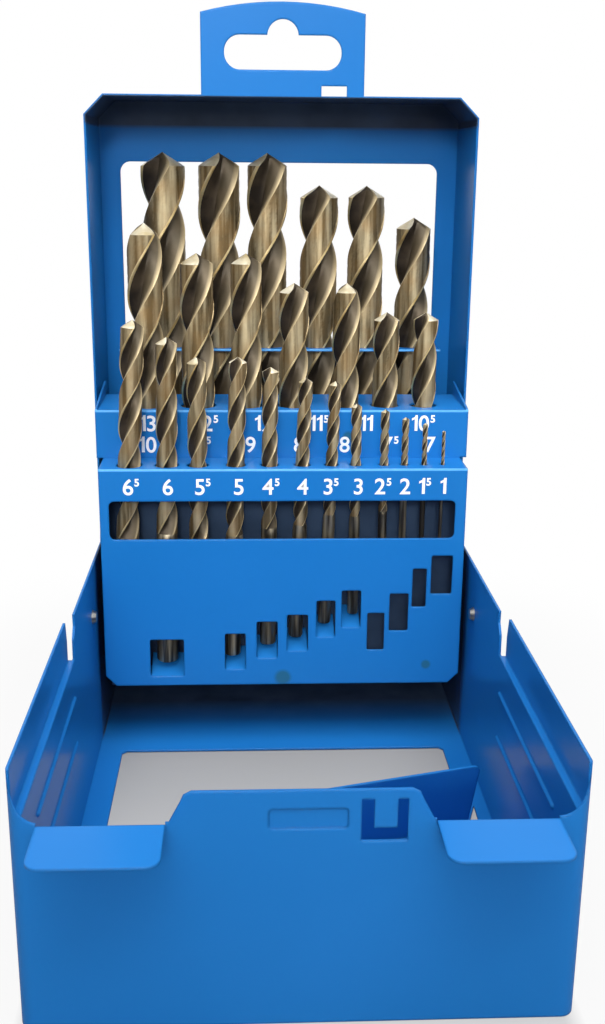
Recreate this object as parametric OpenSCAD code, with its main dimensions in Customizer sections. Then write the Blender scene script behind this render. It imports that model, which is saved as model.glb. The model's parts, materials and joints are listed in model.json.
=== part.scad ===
// Drill bit case: folding sheet-steel case, three trays in steps and 25 twist drills.
// Millimetres. It stands open: base flat on the table, lid and trays upright.
// X right, Y away from the base's front wall, Z up. Origin under the middle of the open case.

/* [Sheet] */
// steel sheet thickness of every pan and tray
sheet = 0.6; // [0.5:0.05:0.7]
// gap between sheets that slide past each other
slip = 0.2; // [0.15:0.05:0.3]

/* [Base] */
// width across the base's side strips
base_w = 109.56; // [108:0.1:120]
// length of the base's floor, front wall to rear wall
base_len = 175.1; // [174:0.1:175.1]
// height of the two thumb plates and of the ledge inside the side walls
ear_z = 44.9; // [43:0.1:46]
// top of the side strips and front corners
strip_top = 55.2; // [53:0.1:58]
// how far back the side strips run
strip_len = 76; // [60:0.5:80]
// radius of the base's two upright front corners
corner_r = 3; // [2:0.5:4]
// length of the thumb plates in front of the wall
ear_len = 14.5; // [10:0.5:16]
// top of the tongue between the thumb plates
tongue_top = 51.3; // [49.5:0.1:53]
// half width of the floor window
floor_win = 46; // [35:0.5:48]
// rear edge of the floor window
floor_win_rear = 113.4; // [100:0.1:140]
// height of the drill stop flap along its own slope
flap_h = 21.9; // [12:0.1:24]
// height of the rear wall that the open lid leans on
rear_h = 11.5; // [10:0.1:12]

/* [Lid] */
// distance from the base's front wall to the open lid's free edge
lid_front = 145.3; // [144:0.1:147]
// depth of the lid
lid_deep = 30.7; // [30.5:0.1:31.5]
// height of the open lid's top wall above the table
lid_top = 179.9; // [178:0.1:182]
// height of the open lid's lower edge
lid_low = 8; // [6:0.1:10]
// corner cut across the lid's two upper corners
lid_cut = 5.3; // [3:0.1:8]
// half width of the lid's window
lid_win = 47.5; // [30:0.5:48]
// upper edge of the lid's window
lid_win_top = 162.3; // [150:0.1:170]
// lower edge of the lid's window
lid_win_low = 108.4; // [100:0.1:108.4]

/* [Hanger] */
// half width of the hanger plate
hang_half = 22.1; // [18:0.1:24]
// top of the hanger plate
hang_top = 203.5; // [198:0.1:206]
// half width of the hanging slot
slot_half = 15.8; // [12:0.1:16]

/* [Trays] */
// how much narrower than the middle shelf the front tray is, at each end
front_in = 1.9; // [1.7:0.1:3]
// how much narrower than the middle shelf the rear tray is, at each end
rear_in = 4.6; // [4:0.1:8]
// front faces of the front and middle trays
front_y = 118.4; // [118:0.1:119]
middle_y = 131.8; // [131.5:0.1:132]
// rear edge of the middle shelf
middle_rear = 156; // [154:0.1:156.5]
// front edge of the rear tray, which is open towards the front
rear_y = 157; // [156.6:0.1:158]
// shelf heights of the three trays
front_z = 82.2; // [80:0.1:84]
middle_z = 95.8; // [94:0.1:98]
rear_z = 109.1; // [108:0.1:112]
// lower edge of the front tray
front_low = 18.5; // [18:0.1:19]
// how far the middle shelf's raised ends climb towards the rear
end_rise = 4; // [2:0.5:5]
// height that the middle drills stand on
middle_seat = 13.3; // [13:0.1:14]
// slope of the small shelves behind the front windows, in degrees
tab_slope = 20; // [10:1:25]

/* [Drill rows] */
// distances of the three rows of drills from the base's front wall
row_1 = 123.6; // [123:0.1:124]
row_2 = 139.5; // [139:0.1:141]
row_3 = 166; // [165.5:0.1:166.5]
// radial room round each drill in its shelf hole
drill_room = 0.3; // [0.2:0.05:0.5]
// point angle of the drills, in degrees
point_angle = 118; // [90:1:135]

/* [Rivets] */
// radius of the hinge rivets
hinge_r = 2.5; // [1.5:0.1:3]
// running clearance in the hinge
hinge_fit = 0.05; // [0.02:0.01:0.1]
// distance of the two closing studs from the front wall, and their height
stud_y = 111; // [105:0.5:112]
stud_z = 42.5; // [41:0.5:44]

/* [Hidden] */
$fn = 48;
enamel = [0.12, 0.42, 0.76];
steel = [0.62, 0.62, 0.6];
bronze = [0.55, 0.48, 0.36];
base_half = base_w / 2;
lid_half = base_half - sheet - slip;
ear_half = lid_half - sheet - slip;
tray_half = ear_half - sheet - slip;
front_half = tray_half - front_in;
rear_half = tray_half - rear_in;
lid_back = lid_front + lid_deep;
// front gap lets the lid's free edge pass the tongue while it closes
front_gap = 0.45;
part_z = ear_z + slip;
sum_yz = lid_top - sheet - front_gap;
dif_yz = lid_front - part_z;
pivot_y = (sum_yz + dif_yz) / 2;
pivot_z = (sum_yz - dif_yz) / 2;
ear_top = pivot_z + 16.2;
lobe_r = 8;
bend_r = 1.5;
mid_y = (lid_back - ear_len) / 2;
far = 0.5;
// the rear tray's floor lies on the middle tray's, and its back lies on the lid's panel
floor_fit = 0.1;
rear_seat = middle_seat + sheet + floor_fit;
web_y = lid_back - 2 * sheet - 0.02;
// places along the case follow the trays' width
function across(x) = x * tray_half / 52.38;

// rivets: radius, head height and radii, then where each group sits
rivet_r = 1;
rivet_head = 0.6;
rivet_rim = 1.2;
rivet_base = 1.8;
hinge_head_r = 4;
stud_head_r = 2;
front_rivets = [-28, 9.2, 30.7];
front_rivet_z = front_z - 5;
floor_rivets = [-25, 4.5, 33.4];
floor_rivet_y = rear_y + 1.9;
panel_rivets = [-38, 38];
panel_rivet_z = [middle_seat + 17, rear_z - 17];
slot_r = 4.2;
crown_r = 88.6;
grip_x = [-6.1, 8.5];
grip_z = [43.4, 47.2];
grip_r = 0.6;

// drills: diameter, length, flute length, x of its hole, lean to the right in degrees
front_drills = [
  [6.5, 101, 63, -42.5, 3], [6, 93, 57, -32.2, 1], [5.5, 93, 57, -23.7, 0], [5, 86, 52, -13.2, 1.5],
  [4.5, 80, 47, -3.9, 0.5], [4, 75, 43, 5.2, 1.8], [3.5, 70, 39, 13.3, 1.8], [3, 61, 33, 20, 0],
  [2.5, 57, 30, 27.9, 0], [2, 49, 24, 33.6, 0], [1.5, 40, 18, 39.1, 0], [1, 34, 12, 44.3, 0]];
middle_drills = [
  [10, 133, 87, -38.1, 0], [9.5, 125, 81, -23.9, 0], [9, 125, 81, -10.2, 0], [8.5, 117, 75, 3.2, 0],
  [8, 117, 75, 18, 0], [7.5, 109, 69, 29.4, 0], [7, 109, 69, 40.5, 0]];
rear_drills = [
  [13, 151, 101, -34.3, 0], [12.5, 151, 101, -18, 0], [12, 151, 101, -3.9, 0], [11.5, 142, 94, 11.4, 0],
  [11, 142, 94, 25.4, 0], [10.5, 133, 87, 39.7, 0]];

// front windows: drill index, x from, x to, z from, z to
low_windows = [
  [1, -37.8, -28.2, 21.3, 32.5], [3, -16.6, -10.7, 23.2, 34.1], [4, -7.6, -1.6, 26.6, 37.7],
  [5, 1, 7, 28.7, 39.7], [6, 9.3, 14.7, 32.9, 43.9], [7, 16.4, 21.9, 35.8, 46.9]];
high_windows = [
  [8, 23.8, 28.7, 28.8, 40.1], [9, 30, 35.4, 34.6, 45.9], [10, 36.3, 40.3, 41.8, 53.3],
  [11, 41.5, 47.5, 45.7, 57.1]];
dimple_h = 1.75;
win_cut = 1.2;

function low_seat(w) = w[3] + (row_1 + front_drills[w[0]][0] / 2 - front_y) * tan(tab_slope) + 0.1;
function high_seat(w) = w[4] + sheet + 0.07;
front_seats = [
  front_low + sheet + dimple_h + 0.02, low_seat(low_windows[0]), front_low + sheet + 0.02,
  low_seat(low_windows[1]), low_seat(low_windows[2]), low_seat(low_windows[3]),
  low_seat(low_windows[4]), low_seat(low_windows[5]), high_seat(high_windows[0]),
  high_seat(high_windows[1]), high_seat(high_windows[2]), high_seat(high_windows[3])];

// a flat shape drawn in x and z, extruded backwards from y0
module upright(y0, t = sheet) translate([0, y0 + t, 0]) rotate([90, 0, 0]) linear_extrude(t) children();
// a flat shape drawn in y and z, extruded to the right from x0
module sideways(x0, t = sheet) translate([x0, 0, 0]) rotate([90, 0, 90]) linear_extrude(t) children();
module area(x0, x1, y0, y1) translate([x0, y0]) square([x1 - x0, y1 - y0]);
module block(x0, x1, y0, y1, z0, z1) translate([x0, y0, z0]) cube([x1 - x0, y1 - y0, z1 - z0]);
module soft_area(x0, x1, y0, y1, r) {
  area(x0 + r, x1 - r, y0, y1);
  area(x0, x1, y0 + r, y1 - r);
  for (x = [x0 + r, x1 - r], y = [y0 + r, y1 - r]) translate([x, y]) circle(r);
}
module both() { children(); mirror([1, 0, 0]) children(); }
module placed() translate([0, -mid_y, 0]) children();

// ---------- base ----------
module corner_shape() polygon(concat(
  [for (a = [0 : 10 : 90]) [48.9 + (base_half - 48.9) * sin(a), strip_top - (strip_top - ear_z) * cos(a)]],
  [[base_half + far, strip_top], [base_half + far, ear_z - 3], [48.9, ear_z - 3]]));
module tongue_shape() polygon([[-25.4, ear_z - 3], [-25.4, ear_z - 1], [-22.7, tongue_top - 2.2],
  [-22.1, tongue_top - 0.8], [-20.6, tongue_top], [20.6, tongue_top], [22.1, tongue_top - 0.8],
  [22.7, tongue_top - 2.2], [25.4, ear_z - 1], [25.4, ear_z - 3]]);
module ear_plan(x0, x1) {
  area(x0, x1, 3 - ear_len, -0.8);
  area(x0 + 3, x1 - 3, -ear_len, 4 - ear_len);
  for (x = [x0 + 3, x1 - 3]) translate([x, 3 - ear_len]) circle(3);
}
module ear(x0, x1) {
  translate([0, 0, ear_z - sheet]) linear_extrude(sheet) ear_plan(x0, x1);
  sideways(x0, x1 - x0) intersection() {
    translate([sheet - bend_r, ear_z - bend_r]) difference() { circle(bend_r); circle(bend_r - sheet); }
    area(sheet - bend_r, sheet, ear_z - bend_r, ear_z);
  }
}
module side_shape() {
  polygon([[sheet, 0], [base_len, 0], [base_len, rear_h], [166, 15], [160.5, 22],
    [pivot_y + 16.2, pivot_z], [pivot_y, pivot_z], [pivot_y, ear_top], [strip_len + 3.3, ear_top],
    [strip_len + 3.5, ear_top - 3], [strip_len + 1.2, ear_z + 5], [strip_len + 1, ear_z], [sheet, ear_z]]);
  translate([pivot_y, pivot_z]) circle(16.2);
}
module front_plan() difference() {
  soft_area(-base_half, base_half, 0, 2 * strip_len, corner_r);
  soft_area(sheet - base_half, base_half - sheet, sheet, 2 * strip_len, corner_r - sheet);
  area(-base_half - 1, base_half + 1, strip_len, 3 * strip_len);
}
module bead(z, y0, y1) translate([ear_half - sheet, y0, z]) {
  rotate([-90, 0, 0]) cylinder(r = 0.55, h = y1 - y0);
  sphere(0.55);
  translate([0, y1 - y0, 0]) sphere(0.55);
}
module grip(out) soft_area(grip_x[0] - out, grip_x[1] + out, grip_z[0] - out, grip_z[1] + out, grip_r + out);

module base_pan() color(enamel) difference() {
  union() {
    difference() {
      linear_extrude(strip_top) front_plan();
      both() block(base_half - sheet - far, base_half + 1, 8, strip_len + 1, -1, ear_z - sheet);
      upright(-1, corner_r) difference() {
        area(-base_half - 1, base_half + 1, ear_z, strip_top + 1);
        tongue_shape();
        both() corner_shape();
      }
      block(-49.4, -25.5, -1, 1, ear_z - bend_r, ear_z + 1);
      block(25.3, 48.6, -1, 1, ear_z - bend_r, ear_z + 1);
      both() sideways(base_half - 2, 4)
        polygon([[strip_len - 1.6, strip_top + 1], [strip_len, ear_z + 5], [strip_len + 2, strip_top + 1]]);
    }
    ear(-49.4, -25.5);
    ear(25.3, 48.6);
    both() sideways(ear_half - sheet) side_shape();
    translate([0, 0, ear_z - sheet]) linear_extrude(sheet) both() intersection() {
      soft_area(-base_half, base_half, 0, 2 * strip_len, corner_r);
      area(ear_half - sheet, base_half + 1, sheet / 2, strip_len);
    }
    block(-ear_half, ear_half, sheet / 2, base_len, 0, sheet);
    upright(base_len - sheet) area(-ear_half, ear_half, 0, rear_h);
    both() bead(36, 19, 73);
    both() bead(24, 33, 73);
    upright(sheet / 2, sheet) grip(0);
  }
  // floor window, with the slanted edge that the stop flap was bent up from
  translate([0, 0, -1]) linear_extrude(3) {
    polygon([[-floor_win, 45.2], [floor_win, 70.7], [floor_win, floor_win_rear - win_cut],
      [floor_win - win_cut, floor_win_rear], [win_cut - floor_win, floor_win_rear],
      [-floor_win, floor_win_rear - win_cut]]);
    polygon([[45.9, 70.2], [49, 71.7], [49.2, 80.4]]);
  }
  upright(-far, far + 0.35) grip(0.2);
  // spring tab in the tongue
  upright(-1, 3) difference() {
    area(11.1, 19.9, 40.4, 49.2);
    area(13.5, 17.9, 43.2, 50);
  }
  both() translate([ear_half - 3, pivot_y, pivot_z]) rotate([0, 90, 0])
    cylinder(r = hinge_r + hinge_fit, h = 6);
  both() translate([ear_half - 3, stud_y, stud_z]) rotate([0, 90, 0]) cylinder(r = 1.22, h = 6);
}
module stop_flap() translate([45.2, 70.5, 0]) rotate([0, 0, 15.5]) rotate([16.2, 0, 0])
  translate([0, -0.5, 0]) {
    block(-59.4, -2, 0, sheet, 0.25, flap_h);
    block(-3, 0, 0, sheet, 0.25, flap_h - 2);
    translate([-2, sheet, flap_h - 2]) rotate([90, 0, 0]) cylinder(r = 2, h = sheet);
  }

// ---------- hinge rivets and closing studs ----------
module side_rivet(y, z, r, x0, x1, head_r, head_in, head_out) translate([0, y, z]) rotate([0, 90, 0]) {
  translate([0, 0, x0]) cylinder(r = r, h = x1 - x0);
  translate([0, 0, x0 - head_in]) cylinder(r1 = head_r * 0.72, r2 = head_r, h = head_in);
  translate([0, 0, x1]) cylinder(r1 = head_r, r2 = head_r * 0.72, h = head_out);
}
module hinge_rivets() color(steel) both()
  side_rivet(pivot_y, pivot_z, hinge_r, ear_half - sheet, lid_half + 0.12, hinge_head_r, 1.1, 1);
module closing_studs() color(steel) both()
  side_rivet(stud_y, stud_z, 1.2, ear_half - sheet, ear_half, stud_head_r, 1.15, 0.6);

// ---------- lid ----------
module lid_outline(in) polygon([
  [in - lid_half, lid_low - (in > 0 ? 1 : 0)], [in - lid_half, lid_top - lid_cut - in * 0.4142],
  [lid_cut - lid_half + in * 0.4142, lid_top - in], [lid_half - lid_cut - in * 0.4142, lid_top - in],
  [lid_half - in, lid_top - lid_cut - in * 0.4142], [lid_half - in, lid_low - (in > 0 ? 1 : 0)]]);
module hanger_shape() difference() {
  intersection() {
    soft_area(-hang_half, hang_half, lid_top - sheet - 5, hang_top, 3);
    translate([0, hang_top - crown_r]) circle(crown_r, $fn = 180);
    area(-hang_half, hang_half, lid_top - sheet, hang_top);
  }
  soft_area(-slot_half, slot_half, hang_top - 17.1, hang_top - 8.3, slot_r);
  translate([0, hang_top - 8.5]) circle(slot_r);
}
module lid_pan() color(enamel) difference() {
  union() {
    upright(lid_back - sheet, sheet) lid_outline(0);
    upright(lid_front, lid_deep) difference() { lid_outline(0); lid_outline(sheet); }
    upright(lid_front, sheet) hanger_shape();
    both() sideways(lid_half - sheet) difference() {
      union() {
        translate([pivot_y, pivot_z]) circle(lobe_r);
        area(pivot_y, lid_front + 2, pivot_z - lobe_r, pivot_z + lobe_r);
        polygon([[pivot_y + 2, pivot_z + 7], [lid_front + 1, pivot_z + 20], [lid_front + 1, pivot_z]]);
      }
      translate([pivot_y, pivot_z]) circle(hinge_r + hinge_fit);
    }
  }
  upright(lid_back - 2, 4) soft_area(-lid_win, lid_win, lid_win_low, lid_win_top, 3);
  // slot that the spring tab snaps into
  block(10.5, 17.4, lid_front - 1, lid_front + 2.3, lid_top - 2, lid_top + 2.5);
  // the lower front corners of the side walls are cut back
  both() sideways(lid_half - 2, 4) polygon([[lid_front - 1, lid_low - 1], [lid_front - 1, pivot_z - 14],
    [lid_front + 10, lid_low - 1]]);
  for (x = panel_rivets, z = panel_rivet_z) translate([across(x), lid_back - sheet, z]) rotate([90, 0, 0])
    translate([0, 0, -sheet - 0.01]) cylinder(r1 = rivet_base + 0.04, r2 = rivet_r + 0.02, h = sheet + 0.02);
}
// countersunk rivets that hold the rear tray to the lid's panel, flush behind
module lid_rivets() color(steel) for (x = panel_rivets, z = panel_rivet_z)
  translate([across(x), lid_back - sheet, z]) rotate([90, 0, 0]) {
    translate([0, 0, 0.02 - sheet]) cylinder(r1 = rivet_base, r2 = rivet_r, h = sheet);
    cylinder(r = rivet_r, h = sheet + 0.02);
    translate([0, 0, sheet + 0.02]) cylinder(r1 = rivet_base, r2 = rivet_rim, h = rivet_head);
  }

// ---------- trays ----------
module holes(drills, y, z) for (d = drills) translate([across(d[3]), y, z - 1 - sheet])
  cylinder(r = d[0] / 2 + drill_room, h = sheet + 2, $fn = 24);
module front_tray() color(enamel) difference() {
  union() {
    upright(front_y) difference() {
      polygon([[-front_half, front_low + 3], [3 - front_half, front_low], [front_half - 3, front_low],
        [front_half, front_low + 3], [front_half, front_z], [-front_half, front_z]]);
      soft_area(across(-48), across(47.5), 62.2, 73.2, 1.5);
      for (w = concat(low_windows, high_windows)) soft_area(across(w[1]), across(w[2]), w[3], w[4], 0.5);
    }
    // shelf, side walls, bottom and the strip riveted to the middle tray
    block(-front_half, front_half, front_y, middle_y, front_z - sheet, front_z);
    both() block(front_half - sheet, front_half, front_y, middle_y - 0.5, front_low + 3, front_z);
    block(3 - front_half, front_half - 3, front_y, middle_y - 0.5, front_low, front_low + sheet);
    block(-front_half, front_half, middle_y - sheet, middle_y, front_z - 8.5, front_z);
    translate([across(front_drills[0][3]), row_1, front_low]) cylinder(r = 3, h = sheet + dimple_h);
    // shelves bent inwards behind the windows
    for (w = low_windows) translate([across(w[1]) + 0.05, front_y + 0.2, w[3] - 0.1])
      rotate([tab_slope, 0, 0]) translate([0, 0, -sheet]) cube([across(w[2] - w[1]) - 0.1, 10, sheet]);
    for (w = high_windows) block(across(w[1]) + 0.05, across(w[2]) - 0.05, front_y + 0.2, front_y + 9.5,
      w[4] + 0.05, w[4] + 0.05 + sheet);
  }
  holes(front_drills, row_1, front_z);
  front_rivet_holes();
}
module front_rivet_holes() for (x = front_rivets) translate([across(x), middle_y - 2, front_rivet_z])
  rotate([-90, 0, 0]) cylinder(r = rivet_r + 0.02, h = 4);
module floor_rivet_holes() for (x = floor_rivets) translate([across(x), floor_rivet_y, middle_seat - 2])
  cylinder(r = rivet_r + 0.02, h = 4);
module middle_tray() color(enamel) difference() {
  union() {
    upright(middle_y) {
      area(-front_half, front_half, middle_seat - sheet - 0.02, middle_z);
      area(-tray_half, tray_half, front_z, middle_z);
    }
    block(-tray_half, tray_half, middle_y, middle_rear, middle_z - sheet, middle_z);
    // the shelf's two ends are bent up, and climb towards the rear
    both() sideways(tray_half - sheet) polygon([[middle_y, middle_z - sheet], [middle_y, middle_z],
      [middle_y + 1.5, middle_z + 0.5], [middle_rear, middle_z + end_rise],
      [middle_rear, middle_z - sheet]]);
    // lower side walls and the floor that the drills stand on
    both() block(front_half - sheet, front_half, middle_y, middle_rear - 0.5, middle_seat - sheet - 0.02,
      front_z - 10);
    block(-front_half, front_half, middle_y, rear_y + 4, middle_seat - sheet - 0.02, middle_seat - 0.02);
  }
  holes(middle_drills, row_2, middle_z);
  front_rivet_holes();
  floor_rivet_holes();
}
// a channel open to the front: shelf, back plate on the lid's panel, and floor
module rear_tray() color(enamel) difference() {
  union() {
    block(-rear_half, rear_half, rear_y, web_y + sheet, rear_z - sheet, rear_z);
    block(-rear_half, rear_half, web_y, web_y + sheet, rear_seat - sheet - 0.02, rear_z);
    block(-rear_half, rear_half, rear_y, web_y + sheet, rear_seat - sheet - 0.02, rear_seat - 0.02);
  }
  holes(rear_drills, row_3, rear_z);
  floor_rivet_holes();
  for (x = panel_rivets, z = panel_rivet_z) translate([across(x), web_y - 1, z]) rotate([-90, 0, 0])
    cylinder(r = rivet_r + 0.02, h = sheet + 2);
}
module rivet(below, above) {
  translate([0, 0, -below]) cylinder(r = rivet_r, h = below + above);
  translate([0, 0, -below - rivet_head]) cylinder(r1 = rivet_rim, r2 = rivet_base, h = rivet_head);
  translate([0, 0, above]) cylinder(r1 = rivet_base, r2 = rivet_rim, h = rivet_head);
}
module tray_rivets() color(steel) {
  for (x = front_rivets) translate([across(x), middle_y, front_rivet_z]) rotate([-90, 0, 0])
    rivet(sheet, sheet);
  for (x = floor_rivets) translate([across(x), floor_rivet_y, middle_seat])
    rivet(sheet + 0.02, sheet + floor_fit - 0.02);
}

// ---------- drills ----------
// cross-section of the fluted part: two lands and a web
module fluted(r) polygon([for (h = [0, 180], p = [[1, -22], [1, 0], [1, 25], [1, 48], [0.62, 66],
  [0.3, 92], [0.32, 122], [0.74, 146]]) [r * p[0] * cos(p[1] + h), r * p[0] * sin(p[1] + h)]]);
// a drill stands on its foot at height z and leans in the hole of its shelf
module drill(d, y, z, shelf) {
  r = d[0] / 2;
  lean = d[4];
  tip = r / tan(point_angle / 2);
  lead = PI * d[0] / tan(28);
  turn = 360 / lead;
  shank = d[1] - d[2];
  body = d[2] - tip;
  color(bronze) translate([across(d[3]), y, shelf]) rotate([0, lean, 0])
  translate([0, 0, z + r * sin(lean) - shelf]) {
    cylinder(r = r, h = shank, $fn = 32);
    translate([0, 0, shank - 0.01]) linear_extrude(body + 0.01, twist = -turn * body,
      slices = ceil(turn * body / 45), $fn = 16) fluted(r * 0.995);
    translate([0, 0, d[1] - tip - 0.01]) rotate([0, 0, turn * body])
      linear_extrude(tip + 0.01, twist = -turn * tip, slices = 1, scale = 0.08, $fn = 16) fluted(r * 0.995);
  }
}
module rear_drill(i) drill(rear_drills[i], row_3, rear_seat, rear_z);
module middle_drill(i) drill(middle_drills[i], row_2, middle_seat, middle_z);
module front_drill(i) drill(front_drills[i], row_1, front_seats[i], front_z);

placed() { base_pan(); color(enamel) stop_flap(); }
placed() hinge_rivets();
placed() closing_studs();
placed() lid_pan();
placed() lid_rivets();
placed() front_tray();
placed() middle_tray();
placed() rear_tray();
placed() tray_rivets();
placed() rear_drill(0);  // drill_13_0
placed() rear_drill(1);  // drill_12_5
placed() rear_drill(2);  // drill_12_0
placed() rear_drill(3);  // drill_11_5
placed() rear_drill(4);  // drill_11_0
placed() rear_drill(5);  // drill_10_5
placed() middle_drill(0);  // drill_10_0
placed() middle_drill(1);  // drill_09_5
placed() middle_drill(2);  // drill_09_0
placed() middle_drill(3);  // drill_08_5
placed() middle_drill(4);  // drill_08_0
placed() middle_drill(5);  // drill_07_5
placed() middle_drill(6);  // drill_07_0
placed() front_drill(0);  // drill_06_5
placed() front_drill(1);  // drill_06_0
placed() front_drill(2);  // drill_05_5
placed() front_drill(3);  // drill_05_0
placed() front_drill(4);  // drill_04_5
placed() front_drill(5);  // drill_04_0
placed() front_drill(6);  // drill_03_5
placed() front_drill(7);  // drill_03_0
placed() front_drill(8);  // drill_02_5
placed() front_drill(9);  // drill_02_0
placed() front_drill(10);  // drill_01_5
placed() front_drill(11);  // drill_01_0
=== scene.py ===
import json
import math

import bmesh
import bpy
from mathutils import Matrix, Vector


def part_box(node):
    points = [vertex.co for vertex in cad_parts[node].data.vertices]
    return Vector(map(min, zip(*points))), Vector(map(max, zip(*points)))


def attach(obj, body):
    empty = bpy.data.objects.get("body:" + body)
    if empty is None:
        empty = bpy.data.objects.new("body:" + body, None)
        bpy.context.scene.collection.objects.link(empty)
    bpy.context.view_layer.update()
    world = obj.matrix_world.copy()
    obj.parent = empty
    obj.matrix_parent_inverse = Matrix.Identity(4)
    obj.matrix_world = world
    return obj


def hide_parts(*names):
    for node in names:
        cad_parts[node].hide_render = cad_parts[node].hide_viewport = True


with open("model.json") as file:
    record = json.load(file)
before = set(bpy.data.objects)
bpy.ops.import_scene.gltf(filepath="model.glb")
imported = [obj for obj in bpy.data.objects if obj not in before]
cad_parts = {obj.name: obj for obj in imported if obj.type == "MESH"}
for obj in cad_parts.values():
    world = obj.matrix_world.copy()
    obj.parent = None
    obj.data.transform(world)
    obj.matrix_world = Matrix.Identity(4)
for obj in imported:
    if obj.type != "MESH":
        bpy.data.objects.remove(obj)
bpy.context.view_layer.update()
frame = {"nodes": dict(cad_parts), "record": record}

scene = bpy.context.scene
mm = 0.001
midY = 80.75  # distance from the base's front wall to the frame's origin, mm


def fromFront(x, y, z):
    # a place measured from the base's front wall, in mm, as a point of the frame
    return Vector((x * mm, (y - midY) * mm, z * mm))


cameraSettings = {
    "place": (-9.88, -197.13, 163.09),  # mm from the base's front wall
    "yaw": 2.72,
    "pitch": 16.41,
    "roll": 0.53,
    "focalPixels": 1194.33,
    "pictureHeight": 1024,
    "sensorHeight": 24.0,
    "clipStart": 0.01,
}


def makeCamera(settings):
    yaw, pitch, roll = (math.radians(settings[k]) for k in ("yaw", "pitch", "roll"))
    forward = Vector((
        math.sin(yaw) * math.cos(pitch),
        math.cos(yaw) * math.cos(pitch),
        -math.sin(pitch),
    ))
    right = Vector((math.cos(yaw), -math.sin(yaw), 0))
    up = right.cross(forward)
    rolledRight = right * math.cos(roll) + up * math.sin(roll)
    rolledUp = up * math.cos(roll) - right * math.sin(roll)
    data = bpy.data.cameras.new("camera")
    data.sensor_fit = "VERTICAL"
    data.sensor_height = settings["sensorHeight"]
    data.lens = settings["sensorHeight"] * settings["focalPixels"] / settings["pictureHeight"]
    data.clip_start = settings["clipStart"]
    camera = bpy.data.objects.new("camera", data)
    turn = Matrix((rolledRight, rolledUp, -forward)).transposed().to_4x4()
    camera.matrix_world = Matrix.Translation(fromFront(*settings["place"])) @ turn
    scene.collection.objects.link(camera)
    scene.camera = camera


makeCamera(cameraSettings)

# places in mm from the base's front wall, sizes in metres; the lamp with a cone is a spot lamp
lightSettings = {
    "front": {
        "place": (-200, -3760, 1500), "aim": (0, 120, 90), "size": 2.0, "power": 32.0,
        "colour": (1, 0.99, 0.97),
    },
    "key": {
        "place": (-350, -450, 700), "aim": (0, 70, 60), "size": 0.5, "power": 2.1,
        "colour": (1, 0.985, 0.96),
    },
    "top": {
        "place": (60, -110, 740), "aim": (0, 60, 0), "size": 0.6, "power": 6.6,
        "colour": (1, 1, 1),
    },
    "fill": {
        "place": (560, -420, 380), "aim": (0, 90, 60), "size": 0.6, "power": 1.4,
        "colour": (0.96, 0.98, 1),
    },
    "lid": {
        "place": (-60, -900, 500), "aim": (0, 140, 118), "size": 0.12, "power": 25.0,
        "colour": (1, 1, 1), "cone": 16.0, "blend": 0.6,
    },
}


def makeLights(settings):
    for name, lamp in settings.items():
        if "cone" in lamp:
            data = bpy.data.lights.new(name + "Light", "SPOT")
            data.spot_size = math.radians(lamp["cone"])
            data.spot_blend = lamp["blend"]
            data.shadow_soft_size = lamp["size"]
        else:
            data = bpy.data.lights.new(name + "Light", "AREA")
            data.shape = "SQUARE"
            data.size = lamp["size"]
        data.energy = lamp["power"]
        data.color = lamp["colour"]
        light = bpy.data.objects.new(name + "Light", data)
        place = fromFront(*lamp["place"])
        turn = (fromFront(*lamp["aim"]) - place).to_track_quat("-Z", "Y")
        light.matrix_world = Matrix.Translation(place) @ turn.to_matrix().to_4x4()
        scene.collection.objects.link(light)


makeLights(lightSettings)

roomSettings = {
    "light": (0.93, 0.95, 1.0),
    "strength": 0.28,
    "glossFront": 0.42,  # what shiny parts see in front of the case, against white behind it
    "glossTurn": (-0.3, 0.4),  # front-to-back share of the direction, where that change starts and ends
    "floorHalf": 3.0,
    "floorDrop": 0.0002,
    "floorColour": (0.26, 0.26, 0.26),
    "footHalf": (0.0525, 0.0865),  # half the base's outline, in metres
    "glowUnder": (0.5, 0.06),  # the floor's own white that shows in the window, at its front and back; its fall towards the back is painted shade
    "glowDepth": (-0.055, 0.035),  # where these two are reached, in metres
    "glowNear": 0.93,  # the same just beside the case
    "glowStep": 0.004,  # width of the step up to it, in metres
    "glowReach": 0.12,  # the floor is pure white from this far off the case, in metres
}


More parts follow.
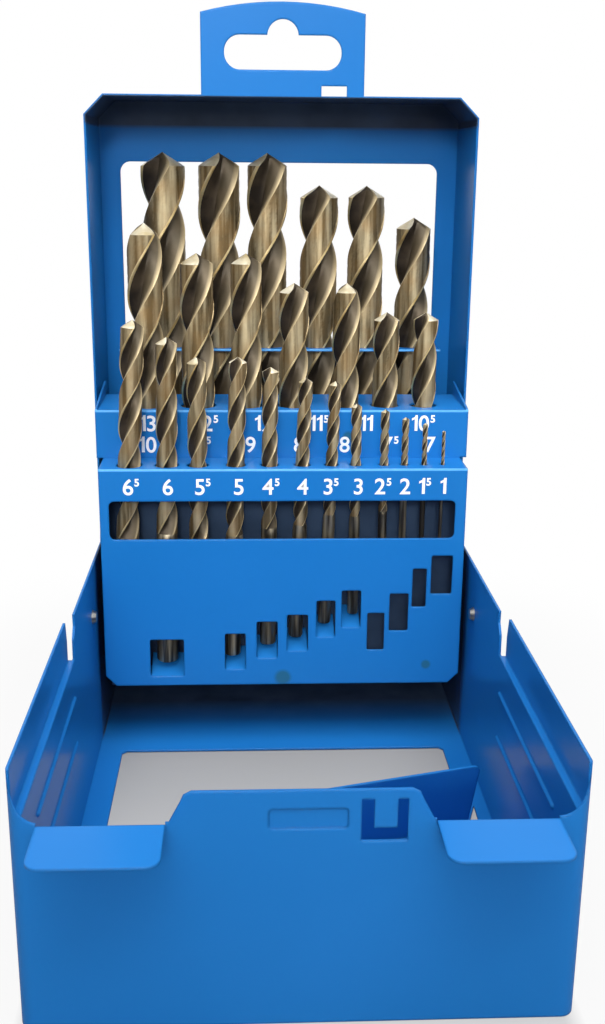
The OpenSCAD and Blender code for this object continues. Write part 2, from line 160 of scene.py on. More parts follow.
def makeWorld(settings):
    world = bpy.data.worlds.new("room")
    scene.world = world
    world.use_nodes = True
    nodes, links = world.node_tree.nodes, world.node_tree.links
    nodes.clear()
    out = nodes.new("ShaderNodeOutputWorld")
    path = nodes.new("ShaderNodeLightPath")
    soft = nodes.new("ShaderNodeBackground")
    soft.inputs["Color"].default_value = (*settings["light"], 1)
    soft.inputs["Strength"].default_value = settings["strength"]
    seen = nodes.new("ShaderNodeBackground")  # white for the camera
    mirrored = nodes.new("ShaderNodeBackground")  # white behind the case, dim in front of it
    for node in (seen, mirrored):
        node.inputs["Color"].default_value = (1, 1, 1, 1)
    place = nodes.new("ShaderNodeTexCoord")
    split = nodes.new("ShaderNodeSeparateXYZ")
    back = nodes.new("ShaderNodeMapRange")
    back.inputs["From Min"].default_value, back.inputs["From Max"].default_value = settings["glossTurn"]
    back.inputs["To Min"].default_value = settings["glossFront"]
    links.new(place.outputs["Generated"], split.inputs[0])
    links.new(split.outputs["Y"], back.inputs["Value"])
    links.new(back.outputs["Result"], mirrored.inputs["Strength"])
    clear = nodes.new("ShaderNodeMath")
    clear.operation = "MAXIMUM"
    links.new(path.outputs["Is Glossy Ray"], clear.inputs[0])
    links.new(path.outputs["Is Transmission Ray"], clear.inputs[1])
    first = nodes.new("ShaderNodeMixShader")
    second = nodes.new("ShaderNodeMixShader")
    links.new(clear.outputs[0], first.inputs["Fac"])
    links.new(soft.outputs[0], first.inputs[1])
    links.new(mirrored.outputs[0], first.inputs[2])
    links.new(path.outputs["Is Camera Ray"], second.inputs["Fac"])
    links.new(first.outputs[0], second.inputs[1])
    links.new(seen.outputs[0], second.inputs[2])
    links.new(second.outputs[0], out.inputs["Surface"])


def makeFloor(settings):
    mesh = bpy.data.meshes.new("floor")
    half, low = settings["floorHalf"], -settings["floorDrop"]
    corners = [(-half, -half, low), (half, -half, low), (half, half, low), (-half, half, low)]
    mesh.from_pydata(corners, [], [(0, 1, 2, 3)])
    floor = bpy.data.objects.new("floor", mesh)
    scene.collection.objects.link(floor)
    paint = bpy.data.materials.new("paleFloor")
    paint.use_nodes = True
    nodes, links = paint.node_tree.nodes, paint.node_tree.links
    nodes.clear()
    out = nodes.new("ShaderNodeOutputMaterial")
    matt = nodes.new("ShaderNodeBsdfDiffuse")
    matt.inputs["Color"].default_value = (*settings["floorColour"], 1)
    glow = nodes.new("ShaderNodeEmission")
    mix = nodes.new("ShaderNodeMixShader")
    path = nodes.new("ShaderNodeLightPath")
    # distance from the base's outline
    spot = nodes.new("ShaderNodeNewGeometry")
    fold = nodes.new("ShaderNodeVectorMath")
    fold.operation = "ABSOLUTE"
    off = nodes.new("ShaderNodeVectorMath")
    off.operation = "SUBTRACT"
    off.inputs[1].default_value = (*settings["footHalf"], 1)
    clip = nodes.new("ShaderNodeVectorMath")
    clip.operation = "MAXIMUM"
    reach = nodes.new("ShaderNodeVectorMath")
    reach.operation = "LENGTH"
    links.new(spot.outputs["Position"], fold.inputs[0])
    links.new(fold.outputs[0], off.inputs[0])
    links.new(off.outputs[0], clip.inputs[0])
    links.new(clip.outputs[0], reach.inputs[0])
    # under the case the white falls off towards the back as painted shade, beside it there is a step up,
    # then a slow rise
    step = nodes.new("ShaderNodeMapRange")
    step.inputs["From Max"].default_value = settings["glowStep"]
    split = nodes.new("ShaderNodeSeparateXYZ")
    depth = nodes.new("ShaderNodeMapRange")
    depth.inputs["From Min"].default_value, depth.inputs["From Max"].default_value = settings["glowDepth"]
    depth.inputs["To Min"].default_value, depth.inputs["To Max"].default_value = settings["glowUnder"]
    links.new(spot.outputs["Position"], split.inputs[0])
    links.new(split.outputs["Y"], depth.inputs["Value"])
    links.new(depth.outputs["Result"], step.inputs["To Min"])
    step.inputs["To Max"].default_value = settings["glowNear"]
    links.new(reach.outputs["Value"], step.inputs["Value"])
    fade = nodes.new("ShaderNodeMapRange")
    fade.interpolation_type = "SMOOTHSTEP"
    fade.inputs["From Min"].default_value = settings["glowStep"]
    fade.inputs["From Max"].default_value = settings["glowReach"]
    fade.inputs["To Max"].default_value = 1 - settings["glowNear"]
    links.new(reach.outputs["Value"], fade.inputs["Value"])
    both = nodes.new("ShaderNodeMath")
    links.new(step.outputs["Result"], both.inputs[0])
    links.new(fade.outputs["Result"], both.inputs[1])
    share = nodes.new("ShaderNodeMath")
    share.operation = "MULTIPLY"
    links.new(path.outputs["Is Camera Ray"], share.inputs[0])
    links.new(both.outputs[0], share.inputs[1])
    links.new(share.outputs[0], mix.inputs["Fac"])
    links.new(matt.outputs[0], mix.inputs[1])
    links.new(glow.outputs[0], mix.inputs[2])
    links.new(mix.outputs[0], out.inputs["Surface"])
    mesh.materials.append(paint)


makeWorld(roomSettings)
makeFloor(roomSettings)
scene.view_settings.view_transform = "Standard"
print("camera, lights and floor are in place")


def newGroup(name, inputs, outputs):
    # an empty node group whose inputs are plain numbers
    group = bpy.data.node_groups.new(name, "ShaderNodeTree")
    for label, value in inputs:
        socket = group.interface.new_socket(name=label, in_out="INPUT", socket_type="NodeSocketFloat")
        socket.default_value = value
    for label, kind in outputs:
        group.interface.new_socket(name=label, in_out="OUTPUT", socket_type=kind)
    start = group.nodes.new("NodeGroupInput")
    end = group.nodes.new("NodeGroupOutput")
    return group, start, end


def stretched(group, noise, ends):
    # 0 where the noise is at the first end, 1 where it is at the second
    span = group.nodes.new("ShaderNodeMapRange")
    span.inputs["From Min"].default_value, span.inputs["From Max"].default_value = ends
    group.links.new(noise, span.inputs["Value"])
    return span.outputs["Result"]


paintShape = {
    "fineDetail": 3.0,
    "wideDetail": 4.0,
    "patchEnds": (0.3, 0.7),
    "relief": 0.0004,  # metres
}


def makePaintSkin(shape):
    # soft unevenness of sprayed enamel: masks for colour and gloss, and a normal
    group, start, end = newGroup(
        "paintSkin",
        [("Scale", 260.0), ("Depth", 0.05), ("Patch", 22.0)],
        [("Patches", "NodeSocketFloat"), ("Gloss", "NodeSocketFloat"), ("Normal", "NodeSocketVector")])
    nodes, links = group.nodes, group.links
    place = nodes.new("ShaderNodeTexCoord")
    fine = nodes.new("ShaderNodeTexNoise")
    fine.inputs["Detail"].default_value = shape["fineDetail"]
    wide = nodes.new("ShaderNodeTexNoise")
    wide.inputs["Detail"].default_value = shape["wideDetail"]
    links.new(place.outputs["Object"], fine.inputs["Vector"])
    links.new(place.outputs["Object"], wide.inputs["Vector"])
    links.new(start.outputs["Scale"], fine.inputs["Scale"])
    links.new(start.outputs["Patch"], wide.inputs["Scale"])
    bump = nodes.new("ShaderNodeBump")
    bump.inputs["Distance"].default_value = shape["relief"]
    links.new(start.outputs["Depth"], bump.inputs["Strength"])
    links.new(fine.outputs["Fac"], bump.inputs["Height"])
    links.new(stretched(group, wide.outputs["Fac"], shape["patchEnds"]), end.inputs["Patches"])
    links.new(fine.outputs["Fac"], end.inputs["Gloss"])
    links.new(bump.outputs["Normal"], end.inputs["Normal"])
    return group


lineAndSheenShape = {
    "round": (0.03, 0.03, 1.0),  # stretches the fine lines round the part
    "along": (1.0, 1.0, 0.06),  # and the painted reflection streaks along it
    "lineDetail": 2.0,
    "stainDetail": 5.0,
    "streakDetail": 3.0,
    "streakScale": 620.0,
    "stainEnds": (0.35, 0.65),
    "streakEnds": (0.38, 0.62),
    "relief": 0.0001,  # metres
}


def makeLinesAndSheen(shape):
    # fine lines round a turned or ground part, painted reflection streaks along it, and stains of heat and
    # oil
    group, start, end = newGroup(
        "grainAndSheen",
        [("Lines", 5200.0), ("Depth", 0.12), ("Stain", 120.0)],
        [("Stains", "NodeSocketFloat"), ("Streaks", "NodeSocketFloat"), ("Grain", "NodeSocketFloat"),
         ("Normal", "NodeSocketVector")])
    nodes, links = group.nodes, group.links
    place = nodes.new("ShaderNodeTexCoord")
    squeeze = nodes.new("ShaderNodeMapping")
    squeeze.inputs["Scale"].default_value = shape["round"]
    lines = nodes.new("ShaderNodeTexNoise")
    lines.inputs["Detail"].default_value = shape["lineDetail"]
    stain = nodes.new("ShaderNodeTexNoise")
    stain.inputs["Detail"].default_value = shape["stainDetail"]
    tall = nodes.new("ShaderNodeMapping")
    tall.inputs["Scale"].default_value = shape["along"]
    streak = nodes.new("ShaderNodeTexNoise")
    streak.inputs["Detail"].default_value = shape["streakDetail"]
    streak.inputs["Scale"].default_value = shape["streakScale"]
    links.new(place.outputs["Object"], tall.inputs["Vector"])
    links.new(tall.outputs["Vector"], streak.inputs["Vector"])
    links.new(place.outputs["Object"], squeeze.inputs["Vector"])
    links.new(squeeze.outputs["Vector"], lines.inputs["Vector"])
    links.new(place.outputs["Object"], stain.inputs["Vector"])
    links.new(start.outputs["Lines"], lines.inputs["Scale"])
    links.new(start.outputs["Stain"], stain.inputs["Scale"])
    bump = nodes.new("ShaderNodeBump")
    bump.inputs["Distance"].default_value = shape["relief"]
    links.new(start.outputs["Depth"], bump.inputs["Strength"])
    links.new(lines.outputs["Fac"], bump.inputs["Height"])
    links.new(stretched(group, stain.outputs["Fac"], shape["stainEnds"]), end.inputs["Stains"])
    links.new(stretched(group, streak.outputs["Fac"], shape["streakEnds"]), end.inputs["Streaks"])
    links.new(lines.outputs["Fac"], end.inputs["Grain"])
    links.new(bump.outputs["Normal"], end.inputs["Normal"])
    return group


paintSkin = makePaintSkin(paintShape)
grainAndSheen = makeLinesAndSheen(lineAndSheenShape)


def mixedColour(material, mask, first, second):
    # each of the two is a colour or the output of an earlier mix
    nodes, links = material.node_tree.nodes, material.node_tree.links
    mix = nodes.new("ShaderNodeMix")
    mix.data_type = "RGBA"
    for label, colour in (("A", first), ("B", second)):
        if isinstance(colour, tuple):
            mix.inputs[label].default_value = (*colour, 1)
        else:
            links.new(colour, mix.inputs[label])
    links.new(mask, mix.inputs["Factor"])
    return mix.outputs["Result"]


def rangedValue(material, mask, low, high):
    nodes, links = material.node_tree.nodes, material.node_tree.links
    span = nodes.new("ShaderNodeMapRange")
    span.inputs["To Min"].default_value = low
    span.inputs["To Max"].default_value = high
    links.new(mask, span.inputs["Value"])
    return span.outputs["Result"]


def makeSurface(name, group, groupValues, masks, look):
    # one Principled material fed by a group's masks and normal
    material = bpy.data.materials.new(name)
    material.use_nodes = True
    nodes, links = material.node_tree.nodes, material.node_tree.links
    shader = nodes["Principled BSDF"]
    skin = nodes.new("ShaderNodeGroup")
    skin.node_tree = group
    for key, value in groupValues.items():
        skin.inputs[key].default_value = value
    colour = mixedColour(material, skin.outputs[masks[0]], look["colour"], look["colour2"])
    if "heel" in look:  # painted shade and painted highlight: the flute runs from dark at the cutting side to light at its heel
        shade = nodes.new("ShaderNodeAttribute")
        shade.attribute_name = "shade"
        colour = mixedColour(material, shade.outputs["Fac"], colour, look["heel"])
    if "stain" in look:
        stained = rangedValue(material, skin.outputs["Stains"], 0.0, look["stainMost"])
        colour = mixedColour(material, stained, colour, look["stain"])
    links.new(colour, shader.inputs["Base Color"])
    rough = rangedValue(material, skin.outputs[masks[1]], *look["rough"])
    links.new(rough, shader.inputs["Roughness"])
    if "bend" in look:
        soft = nodes.new("ShaderNodeBevel")  # rounds the light along the bends of the sheet
        soft.samples = 4
        soft.inputs["Radius"].default_value = look["bend"]
        links.new(skin.outputs["Normal"], soft.inputs["Normal"])
        links.new(soft.outputs["Normal"], shader.inputs["Normal"])
    else:
        links.new(skin.outputs["Normal"], shader.inputs["Normal"])
    shader.inputs["Metallic"].default_value = look["metal"]
    shader.inputs["Specular IOR Level"].default_value = look.get("shine", 0.5)
    return material


enamelLook = {
    "colour": (0.01, 0.150, 0.455), "colour2": (0.013, 0.163, 0.49), "rough": (0.2, 0.28),
    "metal": 0.0, "shine": 0.14, "bend": 0.0008,
}
enamelSkin = {"Scale": 420.0, "Depth": 0.03, "Patch": 18.0}

drillLooks = {
    # painted reflection: the lands and shanks run from dark to light in streaks along the drill
    "land": {
        "colour": (0.11, 0.083, 0.042), "colour2": (0.5, 0.415, 0.255),
        "stain": (0.3, 0.17, 0.055), "stainMost": 0.45, "rough": (0.38, 0.54), "metal": 0.75,
    },
    # painted shade: the flutes are painted dark, lighter towards their heel as a painted highlight
    "flute": {
        "colour": (0.018, 0.013, 0.009), "colour2": (0.058, 0.042, 0.027),
        "heel": (0.6, 0.48, 0.28), "rough": (0.42, 0.55), "metal": 0.35, "shine": 0.3,
    },
    "margin": {
        "colour": (0.6, 0.43, 0.18), "colour2": (0.88, 0.72, 0.4),
        "rough": (0.26, 0.4), "metal": 0.8,
    },
    "point": {
        "colour": (0.45, 0.36, 0.19), "colour2": (0.85, 0.79, 0.62),
        "rough": (0.32, 0.46), "metal": 0.5,
    },
    "shank": {
        "colour": (0.04, 0.034, 0.025), "colour2": (0.42, 0.36, 0.25),
        "rough": (0.26, 0.42), "metal": 0.8,
    },
}
drillMasks = {
    "land": "Streaks", "flute": "Stains", "margin": "Stains", "point": "Stains", "shank": "Streaks",
}
drillGrind = {"Lines": 5200.0, "Depth": 0.1, "Stain": 160.0}
drillSteel = {
    key: makeSurface("drill" + key.capitalize(), grainAndSheen, drillGrind, (drillMasks[key], "Grain"), look)
    for key, look in drillLooks.items()
}

rivetLook = {
    "colour": (0.2, 0.2, 0.2), "colour2": (0.34, 0.34, 0.33), "rough": (0.25, 0.4), "metal": 1.0,
}
rivetGrind = {"Lines": 900.0, "Depth": 0.08, "Stain": 300.0}
rivetSteel = makeSurface("rivetSteel", grainAndSheen, rivetGrind, ("Stains", "Grain"), rivetLook)

inkLook = {
    "colour": (0.82, 0.84, 0.86), "colour2": (0.92, 0.93, 0.94), "rough": (0.4, 0.55), "metal": 0.0,
}
inkSkin = {"Scale": 900.0, "Depth": 0.05, "Patch": 300.0}
inkWhite = makeSurface("inkWhite", paintSkin, inkSkin, ("Patches", "Gloss"), inkLook)
print("materials are made")

# widths of the rounded edges in metres, and the angle in degrees from which an edge is rounded
edgeSettings = {"sheet": 0.00022, "rivet": 0.0001, "segments": 2, "angle": 40}


def dressNode(name, material, width):
    node = frame["nodes"][name]
    node.data.materials.clear()
    node.data.materials.append(material)
    soften = node.modifiers.new("softEdges", "BEVEL")
    soften.width = width
    soften.segments = edgeSettings["segments"]
    soften.limit_method = "ANGLE"
    soften.angle_limit = math.radians(edgeSettings["angle"])
    soften.harden_normals = True
    soften.use_clamp_overlap = True


markLook = {"colour": (0.02, 0.11, 0.17), "strength": 0.8, "blur": 0.25}


def markedEnamel(name, spots=()):
    # enamel with small round marks: place in metres, radius in mm
    material = makeSurface(name, paintSkin, enamelSkin, ("Patches", "Gloss"), enamelLook)
    nodes, links = material.node_tree.nodes, material.node_tree.links
    shader = nodes["Principled BSDF"]
    colour = shader.inputs["Base Color"].links[0].from_socket
    place = nodes.new("ShaderNodeTexCoord")
    for centre, radius in spots:
        gap = nodes.new("ShaderNodeVectorMath")
        gap.operation = "DISTANCE"
        gap.inputs[1].default_value = centre
        edge = nodes.new("ShaderNodeMapRange")
        edge.inputs["From Min"].default_value = radius * mm * (1 + markLook["blur"])
        edge.inputs["From Max"].default_value = radius * mm * (1 - markLook["blur"])
        edge.inputs["To Max"].default_value = markLook["strength"]
        links.new(place.outputs["Object"], gap.inputs[0])
        links.new(gap.outputs["Value"], edge.inputs["Value"])
        colour = mixedColour(material, edge.outputs["Result"], colour, markLook["colour"])
    links.new(colour, shader.inputs["Base Color"])
    return material


def placeMask(material, limits):
    # 1 where every limit holds; a limit is an axis, a side, a place and a softness, both in metres
    # W is the distance from the middle plane, and D is W + Z
    nodes, links = material.node_tree.nodes, material.node_tree.links
    place = nodes.new("ShaderNodeTexCoord")
    spot = nodes.new("ShaderNodeSeparateXYZ")
    links.new(place.outputs["Object"], spot.inputs[0])
    wide = nodes.new("ShaderNodeMath")
    wide.operation = "ABSOLUTE"
    links.new(spot.outputs["X"], wide.inputs[0])
    slanted = nodes.new("ShaderNodeMath")
    links.new(wide.outputs[0], slanted.inputs[0])
    links.new(spot.outputs["Z"], slanted.inputs[1])
    values = {"W": wide.outputs[0], "D": slanted.outputs[0], "Y": spot.outputs["Y"], "Z": spot.outputs["Z"]}
    mask = None
    for axis, side, limit, soft in limits:
        test = nodes.new("ShaderNodeMapRange")
        test.inputs["From Min"].default_value = limit - soft if side == "above" else limit + soft
        test.inputs["From Max"].default_value = limit + soft if side == "above" else limit - soft
        links.new(values[axis], test.inputs["Value"])
        if mask is None:
            mask = test.outputs["Result"]
            continue
        both = nodes.new("ShaderNodeMath")
        both.operation = "MULTIPLY"
        links.new(mask, both.inputs[0])
        links.new(test.outputs["Result"], both.inputs[1])
        mask = both.outputs[0]
    return mask


# painted shade, places in metres: the lid is painted dark above its height, the trays below theirs and the
# base behind its two
paintedShadeLook = {
    "colour": (0.012, 0.022, 0.045), "colour2": (0.06, 0.1, 0.18),
    "cloudScale": 70.0, "cloudDetail": 6.0,
    "lidFrom": 0.1722, "lidSoft": 0.0006,
    "middleTop": 0.0812, "rearTop": 0.1084, "traySoft": 0.0002,
    "wallFrom": 0.042, "wallSoft": 0.003,
    "floorFrom": 0.057, "floorSoft": 0.008,
}


def paintShadeOn(material, limits):
    # painted shade: mottled dark colour within the limits
    nodes, links = material.node_tree.nodes, material.node_tree.links
    shader = nodes["Principled BSDF"]
    place = nodes.new("ShaderNodeTexCoord")
    cloud = nodes.new("ShaderNodeTexNoise")
    cloud.inputs["Scale"].default_value = paintedShadeLook["cloudScale"]
    cloud.inputs["Detail"].default_value = paintedShadeLook["cloudDetail"]
    links.new(place.outputs["Object"], cloud.inputs["Vector"])
    shadeLook = mixedColour(material, cloud.outputs["Fac"], paintedShadeLook["colour"], paintedShadeLook["colour2"])
    plain = shader.inputs["Base Color"].links[0].from_socket
    links.new(mixedColour(material, placeMask(material, limits), plain, shadeLook), shader.inputs["Base Color"])
    return material


crisp = 0.0001  # softness of a limit that follows the sheet, in metres
# painted highlight along the front bends of the shelves
edgeHighlightLook = {"colour": (0.13, 0.45, 0.9), "strength": 0.8, "down": 0.0005, "back": 0.0006}
shelfTops = {"front_tray": 0.0822, "middle_tray": 0.0958, "rear_tray": 0.1091}  # metres


def litEdge(material, tray):
    # painted highlight: the bend between a tray's shelf and its front face is painted light blue where it
    # catches the light
    shader = material.node_tree.nodes["Principled BSDF"]
    limits = [
        ("Z", "above", shelfTops[tray] - edgeHighlightLook["down"], crisp),
        ("Y", "below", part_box(tray)[0].y + edgeHighlightLook["back"], crisp),
    ]
    mask = rangedValue(material, placeMask(material, limits), 0.0, edgeHighlightLook["strength"])
    plain = shader.inputs["Base Color"].links[0].from_socket
    colour = mixedColour(material, mask, plain, edgeHighlightLook["colour"])
    material.node_tree.links.new(colour, shader.inputs["Base Color"])
    return material


# places that part the insides with painted shade from the plain outsides, in metres
sheetPlaces = {
    "half": 0.0003,  # half the sheet's thickness
    "wallInside": 0.0523,  # just inside the inner faces of the base's side walls
    "wallMiddle": 0.0529,  # between their inner and outer faces
    "floorAbove": 0.0009,  # just above the base's floor
    "lidRoof": 0.1799,  # top of the lid's upper wall
    "lidCorner": 0.22816,  # D inside the lid's chamfered corners
}


def dressBase(shadeLook, sheet):
    # painted shade on the base's inner side walls and its floor towards the back
    walls = [
        ("Y", "above", shadeLook["wallFrom"], shadeLook["wallSoft"]),
        ("W", "above", sheet["wallInside"], crisp),
        ("W", "below", sheet["wallMiddle"], crisp),
        ("Z", "above", sheet["half"], crisp),
    ]
    bottom = [
        ("Y", "above", shadeLook["floorFrom"], shadeLook["floorSoft"]),
        ("Z", "above", sheet["half"], crisp),
        ("Z", "below", sheet["floorAbove"], crisp),
        ("W", "below", sheet["wallMiddle"], crisp),
    ]
    enamel = paintShadeOn(paintShadeOn(markedEnamel("baseEnamel"), walls), bottom)
    dressNode("base_pan", enamel, edgeSettings["sheet"])


def dressLid(shadeLook, sheet):
    near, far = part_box("lid_pan")
    # painted shade inside the lid along its upper wall
    inside = [
        ("Z", "above", shadeLook["lidFrom"], shadeLook["lidSoft"]),
        ("Z", "below", sheet["lidRoof"] - sheet["half"], crisp),
        ("W", "below", far.x - sheet["half"], crisp),
        ("Y", "above", near.y + sheet["half"], crisp),
        ("Y", "below", far.y - sheet["half"], crisp),
        ("D", "below", sheet["lidCorner"], crisp),
    ]
    dressNode("lid_pan", paintShadeOn(markedEnamel("lidEnamel"), inside), edgeSettings["sheet"])


# small round marks: their middles across and up, and their radii, all in mm
frontMarks = [(-0.1, 20.6, 2.2), (41, 24.2, 1.3)]
middleMarks = [(18.5, 88.2, 1.5)]


def onFace(tray, marks):
    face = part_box(tray)[0].y
    return [((x * mm, face, z * mm), radius) for x, z, radius in marks]


def dressTrays(shadeLook):
    # painted shade on the rear and middle trays below the given heights
    rear = paintShadeOn(markedEnamel("rearEnamel"), [("Z", "below", shadeLook["rearTop"], shadeLook["traySoft"])])
    front = markedEnamel("frontEnamel", onFace("front_tray", frontMarks))
    middle = markedEnamel("middleEnamel", onFace("middle_tray", middleMarks))
    paintShadeOn(middle, [("Z", "below", shadeLook["middleTop"], shadeLook["traySoft"])])
    for name, enamel in (("rear_tray", rear), ("front_tray", front), ("middle_tray", middle)):
        dressNode(name, litEdge(enamel, name), edgeSettings["sheet"])


dressBase(paintedShadeLook, sheetPlaces)
dressLid(paintedShadeLook, sheetPlaces)
dressTrays(paintedShadeLook)
for name in ("hinge_rivets", "closing_studs", "lid_rivets", "tray_rivets"):
    dressNode(name, rivetSteel, edgeSettings["rivet"])
print("sheet parts and rivets are dressed")

# flute length in mm, and the height in mm of the uppermost waist that the flutes cut in its outline
drillPlan = {
    "drill_13_0": (101, 150.1), "drill_12_5": (101, 140.2), "drill_12_0": (101, 144.2),
    "drill_11_5": (94, 141.1), "drill_11_0": (94, 141.9), "drill_10_5": (87, 128.4),
    "drill_10_0": (87, 119.4), "drill_09_5": (81, 116.8), "drill_09_0": (81, 116.8),
    "drill_08_5": (75, 114.3), "drill_08_0": (75, 108.4), "drill_07_5": (69, 109.4),
    "drill_07_0": (69, 115.4), "drill_06_5": (63, 105.5), "drill_06_0": (57, 104.1),
    "drill_05_5": (57, 98.6), "drill_05_0": (52, 105.1), "drill_04_5": (47, 105.2),
    "drill_04_0": (43, 99.0), "drill_03_5": (39, 97.0), "drill_03_0": (33, 93.0),
    "drill_02_5": (30, 92.0), "drill_02_0": (24, 91.0), "drill_01_5": (18, 90.0),
    "drill_01_0": (12, 87.0),
}
# lengths in mm and angles in degrees
drillShape = {
    "helixThin": (6.5, 30.0),  # helix angle of drills up to this size
    "helixThick": (10.5, 33.0),  # and of those from this size
    "waistTurn": 136.0,  # how far the cross-section is turned at a waist
    "pointAngle": 118.0,
    "inside": 0.995,  # share of the plain drill's radius that the detail keeps to
    "footShare": 0.9,  # the same at the shank's lower edge
    "tipShare": 0.02,  # and at the very tip
    "footHigh": 0.4,  # height of the shank's chamfer, less on drills under footFull
    "footFull": 4,
    "seam": 0.02,  # height of the slice that ends the plain shank
    "runOut": (1.3, 0.25),  # the flutes deepen over this many sizes, or this share of their length if less
    "shankEnd": 0.35,  # share of that run where the shank's finish ends
    "slicesPerTurn": 40,
    "leastSlices": 12,
    "pointSlices": (0.8, 0.6, 0.4, 0.2, 0.06, 0.0),  # shares of the point's height, down from the tip
    "slack": 0.001,
    "sharpAngle": 38,
    # one half of the cross-section: angle in degrees, radius as a share, surface, and the painted lightness
    # of the flute (painted shade in its hollow, painted highlight at its heel)
    "profile": [
        (-100, 0.74, "flute", 0.12), (-92, 0.9, "flute", 0.6), (-87, 0.965, "land", 1.0),
        (-70, 0.968, "land", 0), (-52, 0.968, "land", 0), (-34, 0.968, "land", 0),
        (-18, 0.968, "land", 0), (-7.5, 0.968, "land", 0), (-7, 1.0, "margin", 0),
        (-3.5, 1.0, "margin", 0), (0, 1.0, "margin", 0), (2.2, 0.9, "flute", 0),
        (5, 0.74, "flute", 0), (9, 0.58, "flute", 0), (15, 0.44, "flute", 0),
        (24, 0.34, "flute", 0.02), (36, 0.29, "flute", 0.03), (48, 0.32, "flute", 0.05),
        (58, 0.41, "flute", 0.07), (68, 0.55, "flute", 0.09),
    ],
}
drillFinishes = ["land", "flute", "margin", "point", "shank"]
leans = {joint["child"]: Vector(joint["axis"]) for joint in frame["record"]["behaviour"]["joints"]}


def makeDrill(name, fluteLength, waist, shape):
    # size, place and lean come from the plain drill and its joint
    low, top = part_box(name)
    axis = leans[name + "_body"].normalized()
    size = (top.y - low.y) / mm
    radius = size / 2
    foot = Vector((low.x + radius * mm * axis.z, (low.y + top.y) / 2, low.z + radius * mm * axis.x))
    length = (top.z - foot.z) / mm / axis.z
    upright = Matrix.Translation(foot) @ Vector((0, 0, 1)).rotation_difference(axis).to_matrix().to_4x4()
    pointSlope = math.tan(math.radians(shape["pointAngle"] / 2))
    pointHigh = radius / pointSlope
    bodyTop = length - pointHigh
    (thin, least), (thick, most) = shape["helixThin"], shape["helixThick"]
    helix = least + (most - least) * min(1, max(0, (size - thin) / (thick - thin)))
    lead = math.pi * size / math.tan(math.radians(helix))
    waistUp = (waist * mm - foot.z) / mm / axis.z
    shank = length - fluteLength
    runOut = min(size * shape["runOut"][0], fluteLength * shape["runOut"][1])
    profile = [(a + turn, r, kind, shade) for turn in (0, 180) for a, r, kind, shade in shape["profile"]]
    count = len(profile)
    # heights of the slices: shank ends, flutes and the ground point
    footHigh = shape["footHigh"] * min(1, size / shape["footFull"])
    heights = [0.0, footHigh, shank * 0.5, shank - shape["seam"], shank]
    steps = max(shape["leastSlices"], round(fluteLength / lead * shape["slicesPerTurn"]))
    heights += [shank + (bodyTop - shank) * i / steps for i in range(1, steps + 1)]
    heights += [length - pointHigh * k for k in shape["pointSlices"]]
    rings = []
    mesh = bmesh.new()
    shades = mesh.verts.layers.float.new("shade")
    for up in heights:
        turn = math.radians(shape["waistTurn"] + 360 * (max(up, shank) - waistUp) / lead)
        cut = min(1.0, max(0.0, (up - shank) / runOut))
        cut = cut * cut * (3 - 2 * cut)
        limit = radius * shape["inside"]
        if up <= 0:
            limit = radius * shape["footShare"]
        if up > bodyTop:
            limit = max(shape["tipShare"] * radius, (length - up) * pointSlope * shape["inside"])
        ring = []
        for angle, share, kind, shade in profile:
            share = 1 - (1 - share) * cut
            reach = min(share * radius * shape["inside"], limit)
            spot = math.radians(angle) + turn
            place = Vector((reach * math.cos(spot) * mm, reach * math.sin(spot) * mm, up * mm))
            vert = mesh.verts.new(upright @ place)
            vert[shades] = shade
            ring.append(vert)
        rings.append(ring)
    for level in range(len(rings) - 1):
        lower, upper = rings[level], rings[level + 1]
        for i in range(count):
            j = (i + 1) % count
            face = mesh.faces.new((lower[i], lower[j], upper[j], upper[i]))
            kind = profile[i][2]
            if heights[level + 1] <= shank + runOut * shape["shankEnd"]:
                kind = "shank"
            elif heights[level] >= bodyTop - shape["slack"] and kind != "flute":
                kind = "point"
            face.material_index = drillFinishes.index(kind)
            face.smooth = True
    for ring, kind in ((list(reversed(rings[0])), "shank"), (rings[-1], "point")):
        face = mesh.faces.new(ring)
        face.material_index = drillFinishes.index(kind)
    data = bpy.data.meshes.new(name + "_detail")
    mesh.to_mesh(data)
    mesh.free()
    for kind in drillFinishes:
        data.materials.append(drillSteel[kind])
    data.set_sharp_from_angle(angle=math.radians(shape["sharpAngle"]))
    drill = bpy.data.objects.new(name + "_detail", data)
    scene.collection.objects.link(drill)
    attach(drill, name + "_body")
    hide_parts(name)


for name, (fluteLength, waist) in drillPlan.items():
    makeDrill(name, fluteLength, waist, drillShape)
print("drills are ground")

# letter sizes and the gap between letters in mm; lift, thickness and boldness in metres
labelSettings = {
    "height": 6.3, "small": 2.9, "gap": 0.35, "capShare": 0.72,
    "lift": 0.00003, "thick": 0.00002, "bold": 0.00008,
}
# outline of the plain 1, in shares of the letter size
oneShape = [
    (0.16, 0.0), (0.29, 0.0), (0.29, 0.72), (0.19, 0.72),
    (0.16, 0.63), (0.03, 0.57), (0.03, 0.47), (0.16, 0.53),
]
# what is printed, the half millimetre after it, and its middle in mm along the tray
frontLabels = [
    ("6", "5", -41.7), ("6", "", -31.7), ("5", "5", -22.2), ("5", "", -12.4),
    ("4", "5", -3.6), ("4", "", 5.1), ("3", "5", 12.9), ("3", "", 20.4),
    ("2", "5", 27.2), ("2", "", 33.3), ("1", "5", 38.8), ("1", "", 43.9),
]
upperLabels = [
    ("13", "", -37.8), ("12", "5", -21.4), ("12", "", -5.4),
    ("11", "5", 10.2), ("11", "", 23.6), ("10", "5", 39.7),
]
lowerLabels = [
    ("10", "", -38), ("9", "5", -22.5), ("9", "", -9.1), ("8", "5", 5.4),
    ("8", "", 17.5), ("7", "5", 30.5), ("7", "", 41.9),
]
# the rows of each tray, with the height of their middles in mm
frontRows = [(frontLabels, 77.4)]
middleRows = [(upperLabels, 92.2), (lowerLabels, 86.1)]


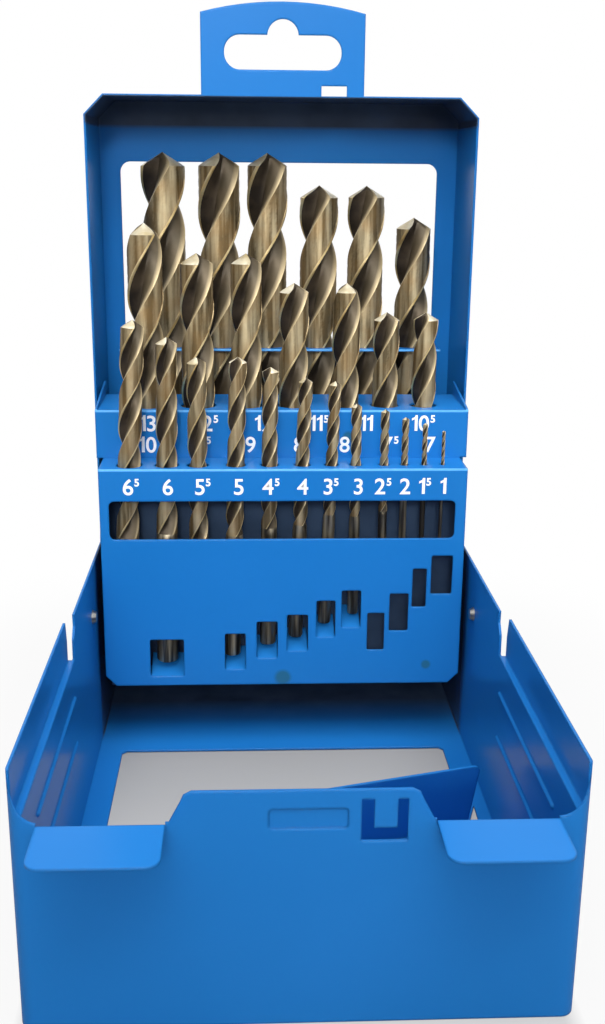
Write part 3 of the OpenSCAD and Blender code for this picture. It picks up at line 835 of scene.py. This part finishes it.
def makeDigit(digit, size):
    # one flat digit in the x-y plane as a mesh, its foot at the origin; size is the letter size in mm
    if digit == "1":
        mesh = bmesh.new()
        face = mesh.faces.new([mesh.verts.new((x * size * mm, y * size * mm, 0)) for x, y in oneShape])
        bmesh.ops.extrude_face_region(mesh, geom=[face])
        for vert in mesh.verts[len(oneShape):]:
            vert.co.z = labelSettings["thick"]
        data = bpy.data.meshes.new("digit")
        mesh.to_mesh(data)
        mesh.free()
        return data
    curve = bpy.data.curves.new("digit", "FONT")
    curve.body = digit
    curve.size = size * mm
    curve.extrude = labelSettings["thick"]
    curve.offset = labelSettings["bold"]
    letter = bpy.data.objects.new("digit", curve)
    scene.collection.objects.link(letter)
    bpy.context.view_layer.update()
    data = bpy.data.meshes.new_from_object(letter.evaluated_get(bpy.context.evaluated_depsgraph_get()))
    bpy.data.objects.remove(letter)
    bpy.data.curves.remove(curve)
    return data


def makeLabels(name, tray, rows, settings):
    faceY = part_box(tray)[0].y
    gap = settings["gap"] * mm
    half = settings["capShare"] / 2
    joined = bmesh.new()
    for labels, z in rows:
        for big, small, x in labels:
            digits = [(makeDigit(d, settings["height"]), False) for d in big]
            digits += [(makeDigit(d, settings["small"]), True) for d in small]
            spans = [(min(v.co.x for v in d.vertices), max(v.co.x for v in d.vertices)) for d, _ in digits]
            total = sum(high - low for low, high in spans) + gap * (len(spans) - 1)
            left = x * mm - total / 2
            for (data, raised), (low, high) in zip(digits, spans):
                foot = z - half * settings["height"]
                if raised:
                    foot = z + half * settings["height"] - 2 * half * settings["small"]
                place = Matrix.Translation((left - low, faceY - settings["lift"], foot * mm))
                data.transform(place @ Matrix.Rotation(math.pi / 2, 4, "X"))
                joined.from_mesh(data)
                bpy.data.meshes.remove(data)
                left += high - low + gap
    data = bpy.data.meshes.new(name)
    joined.to_mesh(data)
    joined.free()
    data.materials.append(inkWhite)
    labels = bpy.data.objects.new(name, data)
    scene.collection.objects.link(labels)
    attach(labels, "lid")


makeLabels("front_sizes", "front_tray", frontRows, labelSettings)
makeLabels("middle_sizes", "middle_tray", middleRows, labelSettings)
print("sizes are printed")

bpy.context.view_layer.update()
